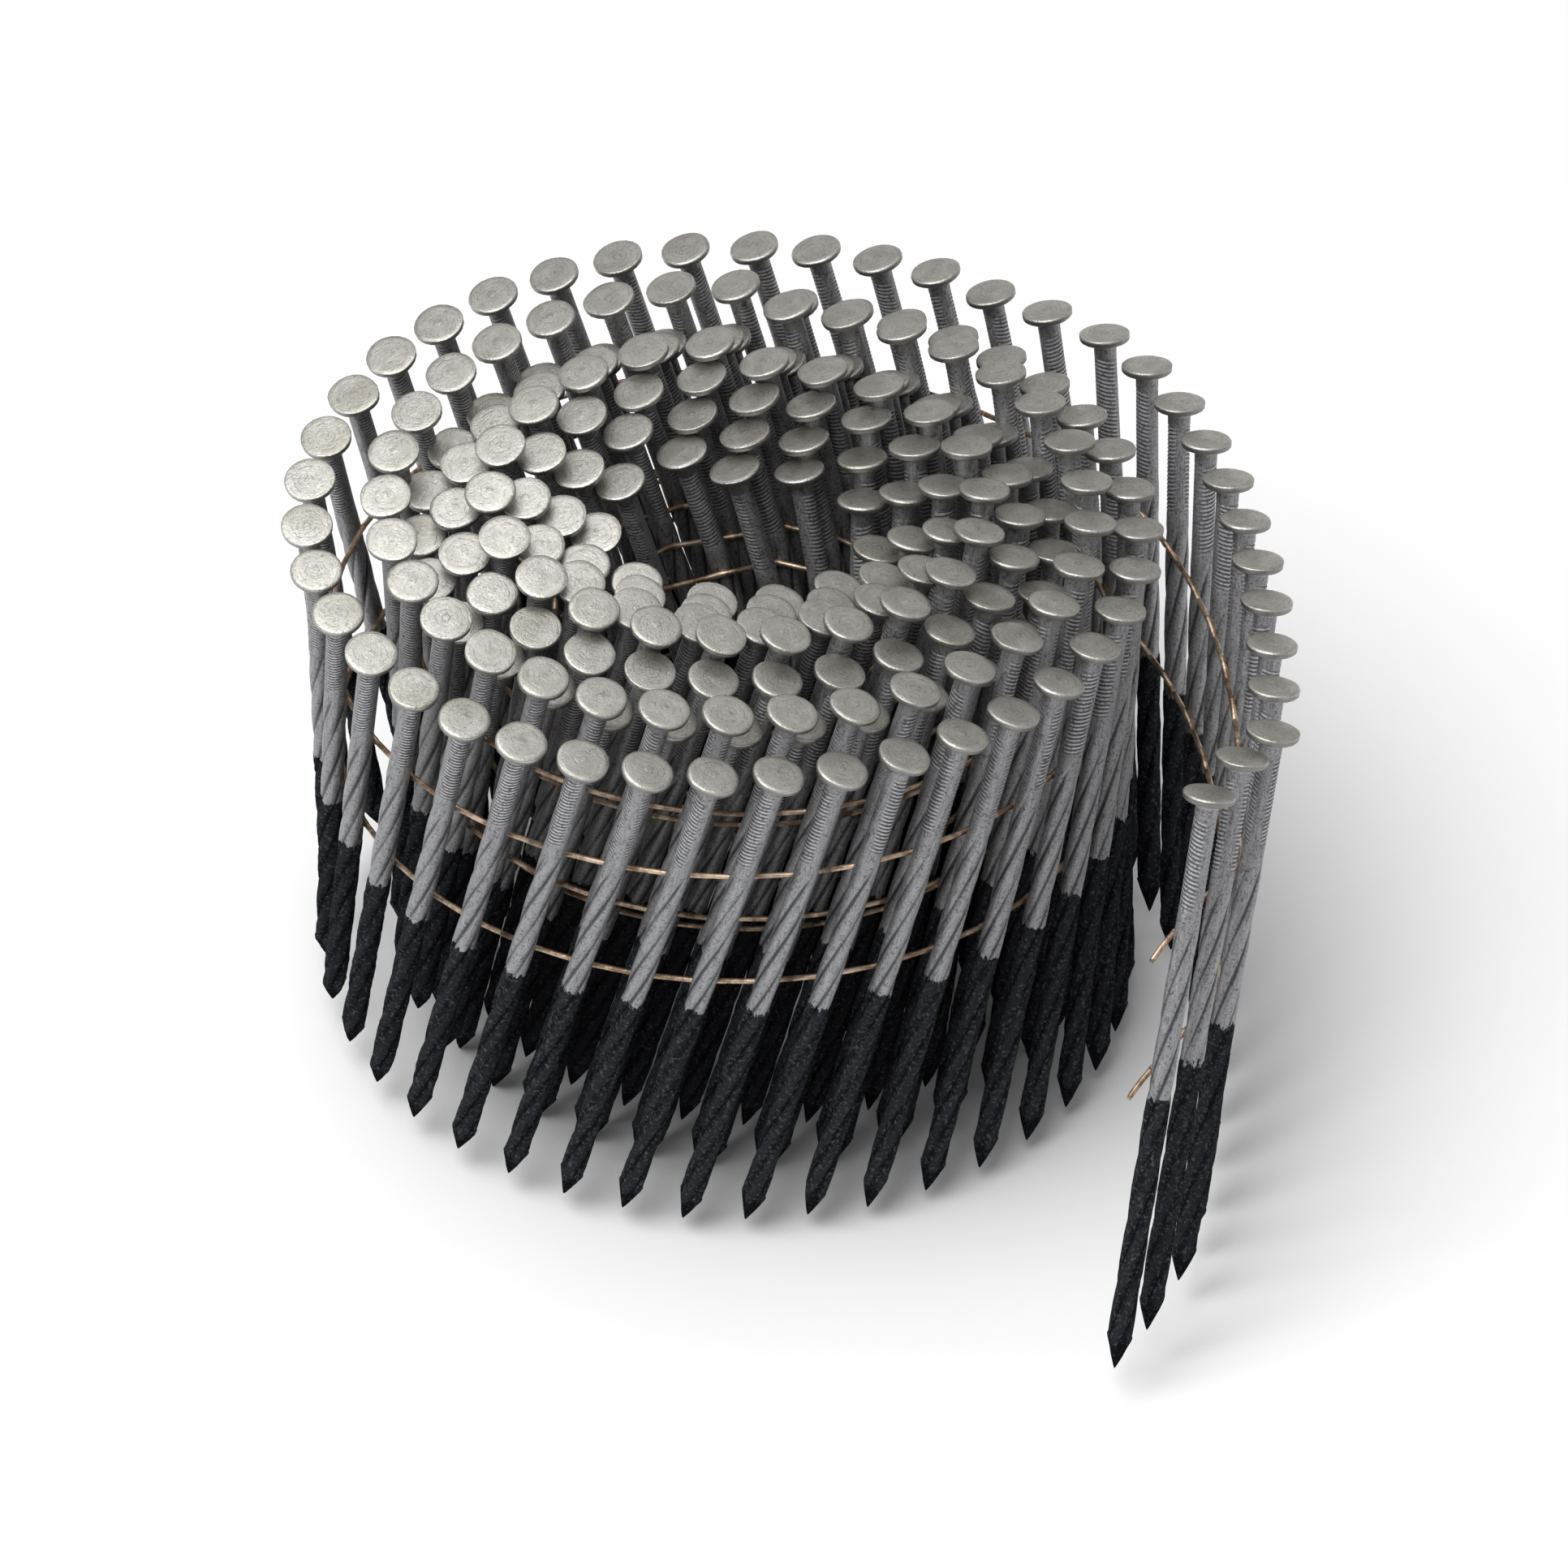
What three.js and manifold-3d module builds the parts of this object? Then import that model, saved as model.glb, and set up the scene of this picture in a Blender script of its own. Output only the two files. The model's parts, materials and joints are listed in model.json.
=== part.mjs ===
// A coil of wire-collated screw-shank nails for a pneumatic coil nailer, standing on its points.
// Millimetres, +Z up. Every nail slants along the strip, and two wires join each nail to the next.
import * as THREE from "three";
import { mergeVertices } from "three/addons/utils/BufferGeometryUtils.js";
import Module from "manifold-3d";

const RADIAN = Math.PI / 180;
const UP = new THREE.Vector3(0, 0, 1);

// One nail.
const NAIL_LENGTH = 70;
const HEAD_DIAMETER = 5.4; // across the corners
const HEAD_SIDES = 6;
const HEAD_THICKNESS = 0.8;
const SHANK_WIDTH = 2.2; // across the flats of the four-flute shank
const POINT_LENGTH = 4.5;

// The strip: nails at an even pitch, slanted along it, joined by two wires.
const PITCH = 7.25;
const SLANT = 15 * RADIAN;
const LEAN = 1 * RADIAN; // heads lean away from the middle of the coil
const WIRE_DIAMETER = 0.8;
const WIRE_SIDES = 3;
const WIRE_GAP = 0.3; // between the wire ends of neighbouring pieces
const WIRE_INSET = 0.4; // from the nail's axis to the wire's, towards the middle of the coil
const UPPER_WIRE_DEPTH = 17.5; // below the top of the head, along the nail
const LOWER_WIRE_DEPTH = 34;
const WAIST_DEPTH = (UPPER_WIRE_DEPTH + LOWER_WIRE_DEPTH) / 2;

// The coil: eight turns, each a whole number of nails, from the outside in.
const START_ANGLE = 77 * RADIAN; // where the tail leaves and each turn steps to the next height
const OUTER_RADIUS = 43.6; // of the nails' axes between the wires, at the start, if no turn were loose
const TURN_PITCH = 3.86; // from turn to turn at the start
const TURN_PITCH_GROWTH = 0.065; // per turn, because the slant spreads the nails of a small turn
const OUTER_TURN_SLACK = 7.3; // the outermost turn has sprung outwards
const OVAL = 1.25;
const OVAL_ANGLE = -10 * RADIAN;
// The heads lap over each other, so each turn stands at its own height: [head height, strips].
const RIDGE_HEIGHT = 6.3;
const TURNS = [
  [RIDGE_HEIGHT - 4, 7],
  [RIDGE_HEIGHT - 1.2, 6],
  [0, 5],
  [RIDGE_HEIGHT - 3.2, 5],
  [RIDGE_HEIGHT, 5],
  [RIDGE_HEIGHT - 2, 4],
  [RIDGE_HEIGHT - 3.9, 4],
  [RIDGE_HEIGHT - 5.8, 4],
];

// The loose tail: a fixed pair of nails, then one hinged nail after another.
const ANCHOR_NAILS = 2;
const TAIL_NAILS = 16;
const FIRST_BEND = 9.6 * RADIAN; // of the strip at each nail, near the coil
const LAST_BEND = 0.7 * RADIAN;
const END_KINK = 23 * RADIAN; // the torn end is bent in
const KINK_NAIL = 14;
// Past the free nail the tail bends about its own nails, so that their heads tilt nearly one way.
const FREE_NAIL = 5;
const FREED_OVER = 3; // nails
const FREE_HEADING = 94 * RADIAN; // the way the heads tilt at the free nail, from +X
const KINK_HEADING = 63 * RADIAN;
const END_HEADING = 68 * RADIAN; // past the kink, where the last nails lean together
const FREE_TILT = 16.5 * RADIAN;
const KINK_TILT = 17 * RADIAN;
const END_TILT = 21.5 * RADIAN;
const WIRE_END_LENGTH = 3.2;
const WIRE_END_GAP = 0.4; // from the last shank

const STEEL = new THREE.MeshStandardMaterial({ color: 0x8f9093, roughness: 0.4, metalness: 0.9 });
const COPPER = new THREE.MeshStandardMaterial({ color: 0xb0774d, roughness: 0.4, metalness: 0.9 });

const wasm = await Module();
wasm.setup();

function solid(geometry, matrix) {
  const bare = geometry.clone();
  bare.deleteAttribute("normal");
  bare.deleteAttribute("uv");
  const merged = mergeVertices(bare.applyMatrix4(matrix), 1e-5);
  const corners = Array.from(merged.index.array);
  const triVerts = [];
  for (let i = 0; i < corners.length; i += 3) {
    const [a, b, c] = corners.slice(i, i + 3);
    if (a !== b && b !== c && c !== a) {
      triVerts.push(a, b, c);
    }
  }
  return new wasm.Manifold(
    new wasm.Mesh({
      numProp: 3,
      vertProperties: new Float32Array(merged.attributes.position.array),
      triVerts: new Uint32Array(triVerts),
    }),
  );
}

// Flat faces are rid of the triangle edges that the joins left in them.
function meshOf(manifold, name, material) {
  const result = manifold.asOriginal().simplify(0.001).getMesh();
  const geometry = new THREE.BufferGeometry();
  geometry.setAttribute("position", new THREE.BufferAttribute(result.vertProperties, 3));
  geometry.setIndex(new THREE.BufferAttribute(result.triVerts, 1));
  const flat = geometry.toNonIndexed();
  flat.computeVertexNormals();
  const mesh = new THREE.Mesh(flat, material);
  mesh.name = name;
  return mesh;
}

// A nail along +Z with the top of its head at the origin, its flats facing X and Y.
function nailGeometries() {
  const radius = HEAD_DIAMETER / 2;
  const flatsOut = Math.PI / HEAD_SIDES;
  const head = new THREE.CylinderGeometry(radius, radius, HEAD_THICKNESS, HEAD_SIDES, 1, false, flatsOut);
  head.rotateX(Math.PI / 2);
  head.translate(0, 0, -HEAD_THICKNESS / 2);
  const corner = SHANK_WIDTH / Math.SQRT2;
  const profile = [
    new THREE.Vector2(0, -NAIL_LENGTH),
    new THREE.Vector2(corner, POINT_LENGTH - NAIL_LENGTH),
    new THREE.Vector2(corner, -HEAD_THICKNESS / 2),
    new THREE.Vector2(0, -HEAD_THICKNESS / 2),
  ];
  const shank = new THREE.LatheGeometry(profile, 4, Math.PI / 4);
  shank.rotateX(Math.PI / 2);
  return [head, shank];
}

const nailParts = nailGeometries();

function slantedAxis(along) {
  const out = new THREE.Vector3(along.y, -along.x, 0);
  const axis = UP.clone().addScaledVector(along, Math.tan(SLANT)).addScaledVector(out, Math.tan(LEAN));
  return axis.normalize();
}

// A nail's place: a point on its axis between the wires, the strip's direction there, the height of
// its head, how far the strip bends from nail to nail, and its axis from point to head. along runs
// inwards along the strip, and out points away from the middle of the coil. The head's flats face
// the turns beside the head.
function placeNail(waist, along, height, bend, axis) {
  const out = new THREE.Vector3(along.y, -along.x, 0);
  const headAngle = (bend * WAIST_DEPTH * Math.sin(SLANT)) / PITCH;
  const side = axis.clone().cross(out.clone().applyAxisAngle(UP, headAngle)).normalize();
  const top = waist.clone().addScaledVector(axis, WAIST_DEPTH).setZ(height);
  return { waist, along, out, axis, side, top };
}

function pointOn(nail, depth) {
  return nail.top.clone().addScaledVector(nail.axis, -depth).addScaledVector(nail.out, -WIRE_INSET);
}

function nailSolid(nail) {
  const inward = nail.axis.clone().cross(nail.side);
  const matrix = new THREE.Matrix4().makeBasis(nail.side, inward, nail.axis);
  matrix.setPosition(nail.top);
  return nailParts.map((geometry) => solid(geometry, matrix)).reduce((a, b) => a.add(b));
}

function wireSolid(from, to) {
  const length = from.distanceTo(to);
  const geometry = new THREE.CylinderGeometry(WIRE_DIAMETER / 2, WIRE_DIAMETER / 2, length, WIRE_SIDES);
  const turn = new THREE.Quaternion().setFromUnitVectors(
    new THREE.Vector3(0, 1, 0),
    to.clone().sub(from).normalize(),
  );
  const middle = from.clone().add(to).multiplyScalar(0.5);
  return solid(geometry, new THREE.Matrix4().compose(middle, turn, new THREE.Vector3(1, 1, 1)));
}

// A run of nails welded into one piece by both wires.
function stripSolid(nails) {
  let strip = nails.map(nailSolid).reduce((a, b) => a.add(b));
  for (let i = 1; i < nails.length; i++) {
    for (const depth of [UPPER_WIRE_DEPTH, LOWER_WIRE_DEPTH]) {
      strip = strip.add(wireSolid(pointOn(nails[i - 1], depth), pointOn(nails[i], depth)));
    }
  }
  return strip;
}

// The radius of the nails' axes between the wires, so many turns in from the start.
function coilRadius(turns, angle) {
  const wound = TURN_PITCH * turns + (TURN_PITCH_GROWTH * turns * turns) / 2;
  const slack = OUTER_TURN_SLACK * Math.max(0, 1 - turns);
  return OUTER_RADIUS - wound + slack + OVAL * Math.cos(2 * (angle - OVAL_ANGLE));
}

function coilPoint(turns) {
  const angle = START_ANGLE + 2 * Math.PI * turns;
  const radius = coilRadius(turns, angle);
  return new THREE.Vector3(radius * Math.cos(angle), radius * Math.sin(angle), 0);
}

function coilNail(turns, height, bend) {
  const step = 0.001;
  const along = coilPoint(turns + step).sub(coilPoint(turns - step)).normalize();
  return placeNail(coilPoint(turns), along, height, bend, slantedAxis(along));
}

function turnNails(turn) {
  const radius = coilRadius(turn + 0.5, OVAL_ANGLE + Math.PI / 4);
  const count = Math.round((2 * Math.PI * radius) / PITCH);
  const bend = (2 * Math.PI) / count;
  return Array.from({ length: count }, (_, i) => coilNail(turn + (i + 0.5) / count, TURNS[turn][0], bend));
}

function tailAxis(i, along) {
  const { lerp, smoothstep } = THREE.MathUtils;
  const free = ANCHOR_NAILS + FREE_NAIL;
  const kink = ANCHOR_NAILS + KINK_NAIL;
  const share = Math.max(0, (i - free) / (kink - free));
  const freed = smoothstep(i, free - FREED_OVER, free);
  const freeHeading = i > kink ? END_HEADING : lerp(FREE_HEADING, KINK_HEADING, share);
  const freeTilt = i > kink ? END_TILT : lerp(FREE_TILT, KINK_TILT, share);
  const heading = lerp(Math.atan2(along.y, along.x), freeHeading, freed);
  const tilt = lerp(SLANT, freeTilt, freed);
  const level = new THREE.Vector3(Math.cos(heading), Math.sin(heading), 0);
  return UP.clone().multiplyScalar(Math.cos(tilt)).addScaledVector(level, Math.sin(tilt));
}

// The tail runs back out from the coil's first nail, so each new nail is behind the last. The strip
// bends at each nail, half before it and half after it.
function tailNails(first) {
  const nails = [first];
  const count = ANCHOR_NAILS + TAIL_NAILS;
  let along = first.along;
  let half = FIRST_BEND / 2;
  for (let i = 1; i <= count; i++) {
    const chord = along.clone().applyAxisAngle(UP, -half);
    const bend = THREE.MathUtils.lerp(FIRST_BEND, LAST_BEND, i / count);
    half = (i === ANCHOR_NAILS + KINK_NAIL ? bend + END_KINK : bend) / 2;
    along = chord.clone().applyAxisAngle(UP, -half);
    const waist = nails[i - 1].waist.clone().addScaledVector(chord, -PITCH);
    nails.push(placeNail(waist, along, TURNS[0][0], bend, tailAxis(i, along)));
  }
  return nails.slice(1);
}

// The stretches of both wires from a nail half the way to another.
function halfWires(own, other) {
  const [upper, lower] = [UPPER_WIRE_DEPTH, LOWER_WIRE_DEPTH].map((depth) => {
    const from = pointOn(own, depth);
    const to = pointOn(other, depth);
    const reach = 0.5 - WIRE_GAP / 2 / from.distanceTo(to);
    return wireSolid(from, from.clone().lerp(to, reach));
  });
  return upper.add(lower);
}

const coil = new THREE.Group();

// The nails in order from the coil's middle out to the free end of the tail, cut into pieces.
const turns = TURNS.map((_, turn) => turnNails(turn));
const tail = tailNails(turns[0][0]);
const anchor = tail.slice(0, ANCHOR_NAILS);
const hinged = tail.slice(ANCHOR_NAILS);
const pieces = [];
TURNS.forEach(([, strips], turn) => {
  const nails = turns[turn];
  for (let i = 0; i < strips; i++) {
    const from = Math.round((i * nails.length) / strips);
    const to = Math.round(((i + 1) * nails.length) / strips);
    pieces.push({ name: `turn_${turn + 1}_strip_${i + 1}`, nails: nails.slice(from, to) });
  }
});
pieces.reverse();
pieces.forEach(({ nails }) => nails.reverse());
pieces.push({ name: "tail_anchor_pair", nails: anchor });
hinged.forEach((nail, i) => {
  pieces.push({ name: `tail_nail_${String(i + 1).padStart(2, "0")}`, nails: [nail] });
});

// Each piece keeps its half of the wires that join it to the pieces before and after it.
pieces.forEach(({ name, nails }, i) => {
  const before = pieces[i - 1];
  const after = pieces[i + 1];
  let body = stripSolid(nails);
  if (before) {
    body = body.add(halfWires(nails[0], before.nails.at(-1)));
  }
  if (after) {
    body = body.add(halfWires(nails.at(-1), after.nails[0]));
  }
  coil.add(meshOf(body, name, STEEL));
});

// The cut ends of the wires, past the last nail.
const last = hinged[hinged.length - 1];
for (const [name, depth] of [["upper_wire_end", UPPER_WIRE_DEPTH], ["lower_wire_end", LOWER_WIRE_DEPTH]]) {
  const from = pointOn(last, depth).addScaledVector(last.along, -(SHANK_WIDTH / 2 + WIRE_END_GAP));
  const to = from.clone().addScaledVector(last.along, -WIRE_END_LENGTH);
  coil.add(meshOf(wireSolid(from, to), name, COPPER));
}

// The origin is under the middle of the whole, on the surface that the lowest points touch.
const box = new THREE.Box3().setFromObject(coil);
const middle = box.getCenter(new THREE.Vector3());
coil.position.set(-middle.x, -middle.y, -box.min.z);

export default coil;
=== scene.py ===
"""The looks of a coil of wire-collated screw-shank nails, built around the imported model.

Lengths are in millimetres until a mesh is made. Each nail is placed by the same rules as in the
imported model, so it stands where its plain stand-in stood.
"""

import json
import math

import bpy
import numpy as np
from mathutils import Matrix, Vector


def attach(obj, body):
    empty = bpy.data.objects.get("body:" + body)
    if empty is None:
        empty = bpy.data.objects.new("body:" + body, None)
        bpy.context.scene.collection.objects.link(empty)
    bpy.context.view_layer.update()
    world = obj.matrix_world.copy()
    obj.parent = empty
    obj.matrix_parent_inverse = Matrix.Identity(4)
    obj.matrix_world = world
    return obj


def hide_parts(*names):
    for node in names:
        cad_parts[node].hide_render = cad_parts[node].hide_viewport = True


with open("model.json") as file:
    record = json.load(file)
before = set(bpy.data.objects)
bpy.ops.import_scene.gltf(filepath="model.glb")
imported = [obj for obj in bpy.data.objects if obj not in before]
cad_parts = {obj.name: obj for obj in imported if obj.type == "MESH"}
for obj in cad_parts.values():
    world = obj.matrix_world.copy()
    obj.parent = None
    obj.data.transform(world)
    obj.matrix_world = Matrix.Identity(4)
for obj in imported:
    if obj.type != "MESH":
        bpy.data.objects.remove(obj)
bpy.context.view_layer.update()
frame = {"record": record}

MM = 0.001
UP = np.array([0.0, 0.0, 1.0])
SEED = 7

# The strip and the coil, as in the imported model. Depths are measured down a nail's axis from the
# top of its head.
NAIL_LENGTH = 70.0
PITCH = 7.25
SLANT = math.radians(15)
LEAN = math.radians(1)
UPPER_WIRE_DEPTH = 17.5
LOWER_WIRE_DEPTH = 34.0
WAIST_DEPTH = (UPPER_WIRE_DEPTH + LOWER_WIRE_DEPTH) / 2
START_ANGLE = math.radians(77)
OUTER_RADIUS = 43.6
TURN_PITCH = 3.86
TURN_PITCH_GROWTH = 0.065
OUTER_TURN_SLACK = 7.3
OVAL = 1.25
OVAL_ANGLE = math.radians(-10)
RIDGE_HEIGHT = 6.3

# Each turn from the outermost in: its heads' height above the lowest turn's, and its strips.
TURNS = [
    (RIDGE_HEIGHT - 4, 7),
    (RIDGE_HEIGHT - 1.2, 6),
    (0.0, 5),
    (RIDGE_HEIGHT - 3.2, 5),
    (RIDGE_HEIGHT, 5),
    (RIDGE_HEIGHT - 2, 4),
    (RIDGE_HEIGHT - 3.9, 4),
    (RIDGE_HEIGHT - 5.8, 4),
]

# The tail: nails fixed to the coil, then loose ones. The strip's bend fades towards the free end,
# with one kink on the way, and from the free nail on the nails lean their own way.
ANCHOR_NAILS = 2
TAIL_NAILS = 16
FIRST_BEND = math.radians(9.6)
LAST_BEND = math.radians(0.7)
END_KINK = math.radians(23)
KINK_NAIL = 14
FREE_NAIL = 5
FREED_OVER = 3
FREE_HEADING = math.radians(94)
KINK_HEADING = math.radians(63)
END_HEADING = math.radians(68)
FREE_TILT = math.radians(16.5)
KINK_TILT = math.radians(17)
END_TILT = math.radians(21.5)
WIRE_END_LENGTH = 3.2

# One real nail.
SEGMENTS = 28
NAIL_SHAPES = 6
HEIGHT_SLACK = 0.2
HEAD_RADIUS = 2.95
HEAD_EDGE = 0.95
SHANK_RADIUS = 1.3
GRIP_DEPTH = 2.9
FLUTE_DEPTH = 15.5
POINT_DEPTH = 65.6

# The head's outline as (share of its radius, height): its struck top, its rim and the cone below.
# Over the top, the height is only a faint ripple on the dome.
HEAD_CENTRE = -0.04
HEAD_TOP_HEIGHT = -0.05
HEAD_TOP = [
    (0.07, 0.012), (0.13, 0.008), (0.2, -0.014), (0.3, 0.004), (0.4, -0.008), (0.5, 0.004),
    (0.62, -0.004), (0.74, 0.004), (0.85, 0.0), (0.93, -0.012), (0.975, -0.06), (1.0, -0.19),
]
HEAD_DOME = (0.04, 0.08)
HEAD_LEAN = (0.01, 0.04)
HEAD_WAVES = (2, 3, 4, 5, 7)
HEAD_ROUGHNESS = 0.02
RIPPLE_SPREAD = (0.4, 1.6)
HEAD_RIM = [(1.0, -0.42), (0.985, -HEAD_EDGE + 0.14), (0.93, -HEAD_EDGE)]
HEAD_CONE = [(0.62, -1.13), (0.49, -1.4), (0.445, -1.9)]

# The serrations under the head, and how deep one is at shares of its pitch.
SERRATION_PITCH = 0.5
SERRATION_SLANT = math.tan(math.radians(13))
SERRATION_CUT = 0.13
SERRATION_BACKS = 0.2
SERRATION_WEAR = (0.55, 1.0)
SERRATIONS_FADED_IN = 4
SERRATION_END_GAP = 1.2
CUT_SHARE = 0.42
CREST_SHARE = 0.88
SERRATION_OUTLINE = [(0.0, 0.0), (CUT_SHARE, 1.0), (0.7, 0.15)]

# The twisted flutes. Their depth fades in ring by ring, and wears more and less along the nail.
FLUTES = 4
FLUTE_LEAD = -32.0
FLUTE_CUT = 0.24
FLUTE_WIDTH = math.radians(8)
FLUTE_CROWDING = 0.45
FLUTE_SQUARING = 0.05
FLUTE_START = 0.35
FLUTE_FADE = 0.22
FLUTE_WEAR = 0.3
WEAR_RATES = (0.1, 0.3)
LAND_RISE = 0.02
SHANK_RING_STEP = 0.85
SHANK_WAVES = (3, 5, 7)
SHANK_ROUGHNESS = 0.014
SHANK_DRIFT = 0.012
SHANK_SWELL = 0.05

# The point, as (share of its length, share of its width).
POINT_RADIUS = 1.66
POINT_OUTLINE = [(0.06, 1.06), (0.16, 0.98), (0.4, 0.74), (0.65, 0.47), (0.86, 0.22), (0.96, 0.09)]
POINT_TWIST = 0.12
POINT_ROUGHNESS = 0.02
LAST_RING_GAP = 0.05
TIP_GAP = 0.03

# The coating towards the point.
COATING_DEPTH = 36.6
COATING_THICKNESS = 0.05
COATING_WAVES = (3, 5, 7, 9, 11)
COATING_ROUGHNESS = 0.075

# The wires. A weld is given as (share of the way to the next nail, share of the wire's width).
# The tail's wires leave some room on each side of a hinge.
WIRE_RADIUS = 0.32
WIRE_ROOM = 0.085
WIRE_INSET = 1.48
WIRE_SEGMENTS = 10
WELD = [(0.0, 1.25), (0.07, 1.22), (0.13, 1.0)]
WIRE_END_REACH = 1.2 * WIRE_END_LENGTH
WIRE_END_DROOP = 0.9
WIRE_END_DIP = 0.12
WIRE_END_SHARES = (0.1, 0.2, 0.45, 0.7, 0.9, 1.0)
WIRE_END_WELD = 1.2
WIRE_END_TIP = 0.8


def unit(vector):
    return vector / np.linalg.norm(vector)


def level_turn(vector, angle):
    """A level vector, turned about the upright axis."""
    cos, sin = math.cos(angle), math.sin(angle)
    return np.array([cos * vector[0] - sin * vector[1], sin * vector[0] + cos * vector[1], 0.0])


def outward(along):
    """The level direction that faces out of the coil from a strip that runs along."""
    return np.array([along[1], -along[0], 0.0])


def slanted_axis(along):
    """A nail's axis, up towards its head, in a strip that runs along."""
    out = outward(along)
    return unit(UP + along * math.tan(SLANT) + out * math.tan(LEAN))


class Nail:
    """A nail's place, from its waist, halfway between the wires, and the height of its head."""

    def __init__(self, waist, along, height, axis):
        self.waist = waist
        self.along = along
        self.out = outward(along)
        self.axis = axis
        self.side = unit(np.cross(self.axis, self.out))
        self.top = waist + self.axis * WAIST_DEPTH
        self.top[2] = height

    def on(self, depth, inset):
        """A point down the nail's axis, set inwards from it."""
        return self.top - self.axis * depth - self.out * inset


def round_radius(turns):
    """The spiral's radius before it is pressed oval, after some turns from the outer end."""
    wound = TURN_PITCH * turns + TURN_PITCH_GROWTH * turns * turns / 2
    slack = OUTER_TURN_SLACK * max(0.0, 1 - turns)
    return OUTER_RADIUS - wound + slack


def coil_point(turns):
    """A point of the spiral that the nails' waists stand on."""
    angle = START_ANGLE + 2 * math.pi * turns
    radius = round_radius(turns) + OVAL * math.cos(2 * (angle - OVAL_ANGLE))
    return radius * np.array([math.cos(angle), math.sin(angle), 0.0])


def coil_nail(turns, height):
    step = 0.001
    along = unit(coil_point(turns + step) - coil_point(turns - step))
    return Nail(coil_point(turns), along, height, slanted_axis(along))


def turn_nails(turn):
    """One turn's nails, from its outer end inwards."""
    count = math.floor(2 * math.pi * round_radius(turn + 0.5) / PITCH + 0.5)
    return [coil_nail(turn + (i + 0.5) / count, TURNS[turn][0]) for i in range(count)]


def lerp(start, end, share):
    """The value that is this share of the way from start to end."""
    return start + (end - start) * share


def smooth(value, low, high):
    """A smooth step from 0 to 1, as the value goes from low to high."""
    share = min(1.0, max(0.0, (value - low) / (high - low)))
    return share * share * (3 - 2 * share)


def tail_axis(i, along):
    """The axis of a nail of the tail, which leans its own way where the tail is freed."""
    free = ANCHOR_NAILS + FREE_NAIL
    kink = ANCHOR_NAILS + KINK_NAIL
    share = max(0.0, (i - free) / (kink - free))
    freed = smooth(i, free - FREED_OVER, free)
    free_heading = END_HEADING if i > kink else lerp(FREE_HEADING, KINK_HEADING, share)
    free_tilt = END_TILT if i > kink else lerp(FREE_TILT, KINK_TILT, share)
    heading = lerp(math.atan2(along[1], along[0]), free_heading, freed)
    tilt = lerp(SLANT, free_tilt, freed)
    sideways = np.array([math.cos(heading), math.sin(heading), 0.0])
    return UP * math.cos(tilt) + sideways * math.sin(tilt)


def tail_nails(first):
    """The unwound tail's nails, from the coil's first nail out to the free end."""
    nails = [first]
    count = ANCHOR_NAILS + TAIL_NAILS
    along = first.along
    half = FIRST_BEND / 2
    for i in range(1, count + 1):
        chord = level_turn(along, -half)
        bend = lerp(FIRST_BEND, LAST_BEND, i / count)
        if i == ANCHOR_NAILS + KINK_NAIL:
            bend += END_KINK
        half = bend / 2
        along = level_turn(chord, -half)
        waist = nails[-1].waist - chord * PITCH
        nails.append(Nail(waist, along, TURNS[0][0], tail_axis(i, along)))
    return nails[1:]


def nail_pieces():
    """Every piece in order from the middle of the coil out to the free end of the tail."""
    turns = [turn_nails(turn) for turn in range(len(TURNS))]
    tail = tail_nails(turns[0][0])
    pieces = []
    for turn, (_, strips) in enumerate(TURNS):
        nails = turns[turn]
        for i in range(strips):
            start = math.floor(i * len(nails) / strips + 0.5)
            stop = math.floor((i + 1) * len(nails) / strips + 0.5)
            pieces.append((f"turn_{turn + 1}_strip_{i + 1}", nails[start:stop][::-1], "coil"))
    pieces.reverse()
    pieces.append(("tail_anchor_pair", tail[:ANCHOR_NAILS], "coil"))
    for i, nail in enumerate(tail[ANCHOR_NAILS:], 1):
        pieces.append((f"tail_nail_{i:02d}", [nail], f"tail_link_{i:02d}"))
    return pieces


# ---------------------------------------------------------------- one nail's shape

def ring_angles():
    """Angles round a nail, closer together beside its flutes."""
    regular = np.arange(SEGMENTS) * 2 * math.pi / SEGMENTS
    return regular - FLUTE_CROWDING * np.sin(FLUTES * regular) / FLUTES


ANGLES = ring_angles()


def ring_noise(rng, harmonics, size):
    """A smooth closed wobble round a ring."""
    wobble = np.zeros(SEGMENTS)
    for k in harmonics:
        wobble += rng.normal() / k * np.cos(k * ANGLES + rng.uniform(0, 2 * math.pi))
    return size * wobble


def even(value):
    """The same value all round a ring."""
    return np.full(SEGMENTS, value)


def head_rings(rng):
    """Rings over the head, from its middle over the rim to the shank: (radii, heights)."""
    edge = HEAD_RADIUS * (1 + ring_noise(rng, HEAD_WAVES, HEAD_ROUGHNESS))
    dome = rng.uniform(*HEAD_DOME)
    tilt = rng.uniform(0, 2 * math.pi)
    lean = rng.uniform(*HEAD_LEAN)
    rings = []
    for share, ripple in HEAD_TOP:
        height = HEAD_TOP_HEIGHT + ripple * rng.uniform(*RIPPLE_SPREAD) - dome * share * share
        rings.append((edge * share, height + lean * share * np.cos(ANGLES - tilt)))
    for share, height in HEAD_RIM:
        rings.append((edge * share, even(height)))
    for share, height in HEAD_CONE:
        rings.append((even(HEAD_RADIUS * share), even(height)))
    return rings


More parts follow.
